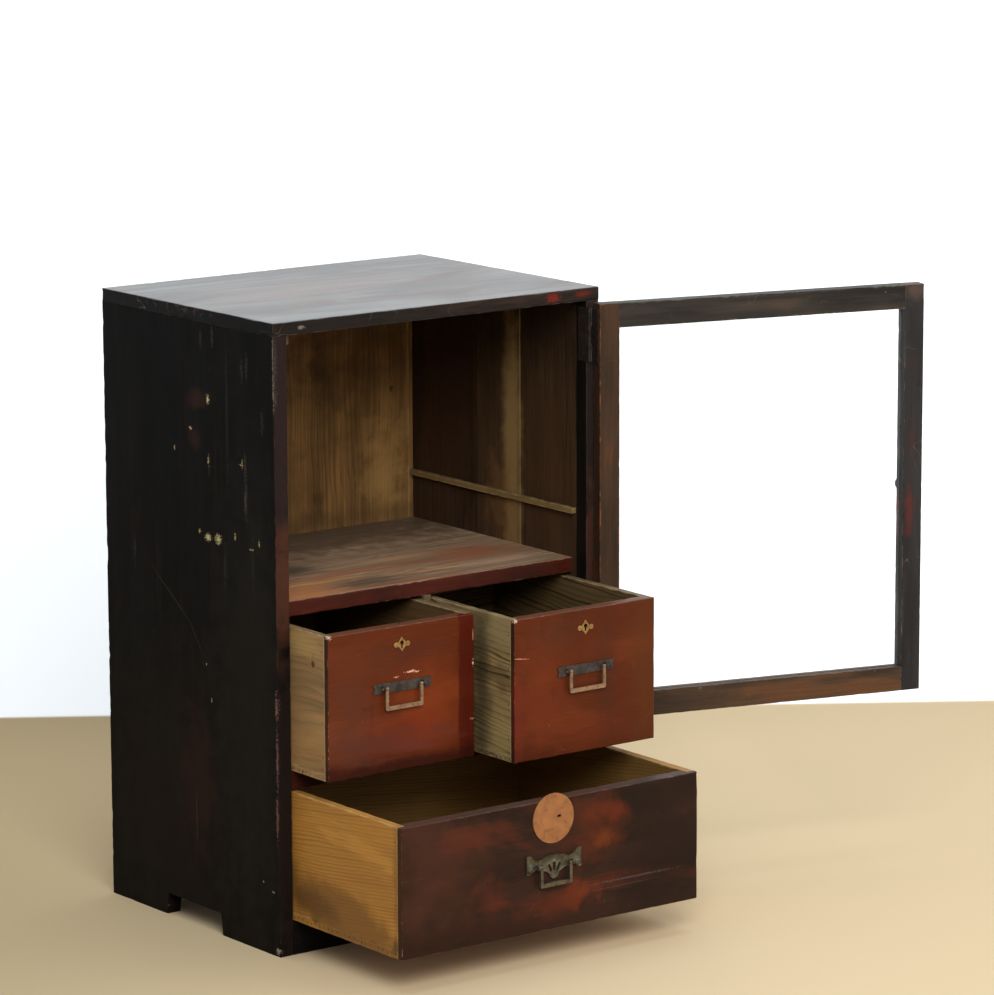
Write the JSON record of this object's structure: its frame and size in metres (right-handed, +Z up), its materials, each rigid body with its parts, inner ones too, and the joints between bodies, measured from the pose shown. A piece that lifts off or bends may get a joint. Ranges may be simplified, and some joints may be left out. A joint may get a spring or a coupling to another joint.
{
  "type": "mizuya kitchen cabinet",
  "caption": "Small Japanese kitchen cabinet with a glazed door over a display compartment, small locking drawers and a wide drawer below.",
  "frame": {"origin": "middle of the front bottom edge of the base rail, on the floor", "axes": "+X to the right seen from the front, +Y from the front towards the back, +Z up"},
  "size_m": [0.8902, 0.592, 0.76],
  "materials": {
    "case_lacquer": "worn near-black lacquer over straight-grained board",
    "top_lacquer": "worn dark lacquer that reflects grey, with reddish streaks",
    "red_lacquer": "worn red-brown lacquer with paint chips",
    "large_front_lacquer": "dark brown lacquer with red wear and scratches",
    "door_lacquer": "dusty dark brown lacquer, worn at the arrises",
    "shelf_wood": "dusty bare board with stains",
    "back_wood": "dark aged bare board with knots",
    "box_wood": "bare softwood with a strong grain",
    "ledger_wood": "bare pale strip",
    "pane_glass": "clear old window glass",
    "knob_wood": "turned, dark and polished by hands",
    "hinge_iron": "rusted wrought iron",
    "screw_steel": "dull slotted screws",
    "strap_iron": "dark grey iron",
    "bail_metal": "aged brass, dull in the corners",
    "brass_fitting": "aged brass",
    "copper_plate": "aged copper, brushed and stained",
    "cast_fitting": "dark cast metal, bright at the edges",
    "lock_steel": "dull steel"
  },
  "bodies": {
    "carcass": {"left_side": "case_lacquer", "right_side": "case_lacquer", "top_board": "top_lacquer", "base_rail": "case_lacquer", "bottom_board": "box_wood", "middle_rail": "red_lacquer", "dust_board": "box_wood", "drawer_runners": "box_wood", "display_shelf": "shelf_wood", "drawer_divider": "case_lacquer", "back_board_left": "back_wood", "back_board_middle": "back_wood", "back_board_right": "back_wood", "left_ledger": "ledger_wood", "right_ledger": "ledger_wood", "door_stop": "ledger_wood", "lower_hinge_frame_leaf": "hinge_iron", "upper_hinge_frame_leaf": "hinge_iron", "hinge_pins": "hinge_iron", "hinge_screws_in_side": "screw_steel"},
    "door": {"door_hinge_stile": "door_lacquer", "door_free_stile": "door_lacquer", "door_top_rail": "door_lacquer", "door_bottom_rail": "door_lacquer", "door_glass_pane": "pane_glass", "door_knob": "knob_wood", "lower_hinge_door_leaf": "hinge_iron", "upper_hinge_door_leaf": "hinge_iron", "hinge_screws_in_door": "screw_steel"},
    "left_drawer": {"left_drawer_front": "red_lacquer", "left_drawer_left_side": "box_wood", "left_drawer_right_side": "box_wood", "left_drawer_back": "box_wood", "left_drawer_bottom": "box_wood", "left_drawer_lock_case": "lock_steel", "left_drawer_escutcheon": "brass_fitting", "left_drawer_strap": "strap_iron"},
    "right_drawer": {"right_drawer_front": "red_lacquer", "right_drawer_left_side": "box_wood", "right_drawer_right_side": "box_wood", "right_drawer_back": "box_wood", "right_drawer_bottom": "box_wood", "right_drawer_lock_case": "lock_steel", "right_drawer_escutcheon": "brass_fitting", "right_drawer_strap": "strap_iron"},
    "large_drawer": {"large_drawer_front": "large_front_lacquer", "large_drawer_left_side": "box_wood", "large_drawer_right_side": "box_wood", "large_drawer_back": "box_wood", "large_drawer_bottom": "box_wood", "large_drawer_lock_case": "lock_steel", "large_drawer_lock_plate": "copper_plate", "large_drawer_handle_plate": "cast_fitting"},
    "left_bail": {"left_drawer_bail": "bail_metal"},
    "right_bail": {"right_drawer_bail": "bail_metal"},
    "large_bail": {"large_drawer_bail": "cast_fitting"},
    "left_bolt": {"left_drawer_lock_bolt": "lock_steel"},
    "right_bolt": {"right_drawer_lock_bolt": "lock_steel"},
    "large_bolt": {"large_drawer_lock_bolt": "lock_steel"}
  },
  "joints": [
    {"name": "door_hinge", "type": "hinge", "parent": "carcass", "child": "door", "pos_m": [0.2234, -0.0031, 0.484], "axis": [0, 0, 1], "range_deg": [-2.5, 33]},
    {"name": "left_drawer_slide", "type": "slide", "parent": "carcass", "child": "left_drawer", "axis": [0, -1, 0], "range_m": [-0.1025, 0.1675]},
    {"name": "right_drawer_slide", "type": "slide", "parent": "carcass", "child": "right_drawer", "axis": [0, -1, 0], "range_m": [-0.163, 0.107]},
    {"name": "large_drawer_slide", "type": "slide", "parent": "carcass", "child": "large_drawer", "axis": [0, -1, 0], "range_m": [-0.217, 0.053]},
    {"name": "left_bail_swing", "type": "hinge", "parent": "left_drawer", "child": "left_bail", "pos_m": [-0.11325, -0.0787, 0.327], "axis": [-1, 0, 0], "range_deg": [0, 110]},
    {"name": "right_bail_swing", "type": "hinge", "parent": "right_drawer", "child": "right_bail", "pos_m": [0.11325, -0.1392, 0.327], "axis": [-1, 0, 0], "range_deg": [0, 110]},
    {"name": "large_bail_swing", "type": "hinge", "parent": "large_drawer", "child": "large_bail", "pos_m": [0, -0.2228, 0.1215], "axis": [-1, 0, 0], "range_deg": [0, 110]},
    {"name": "left_bolt_slide", "type": "slide", "parent": "left_drawer", "child": "left_bolt", "axis": [0, 0, 1], "range_m": [0, 0.011]},
    {"name": "right_bolt_slide", "type": "slide", "parent": "right_drawer", "child": "right_bolt", "axis": [0, 0, 1], "range_m": [0, 0.011]},
    {"name": "large_bolt_slide", "type": "slide", "parent": "large_drawer", "child": "large_bolt", "axis": [0, 0, 1], "range_m": [0, 0.011]}
  ]
}
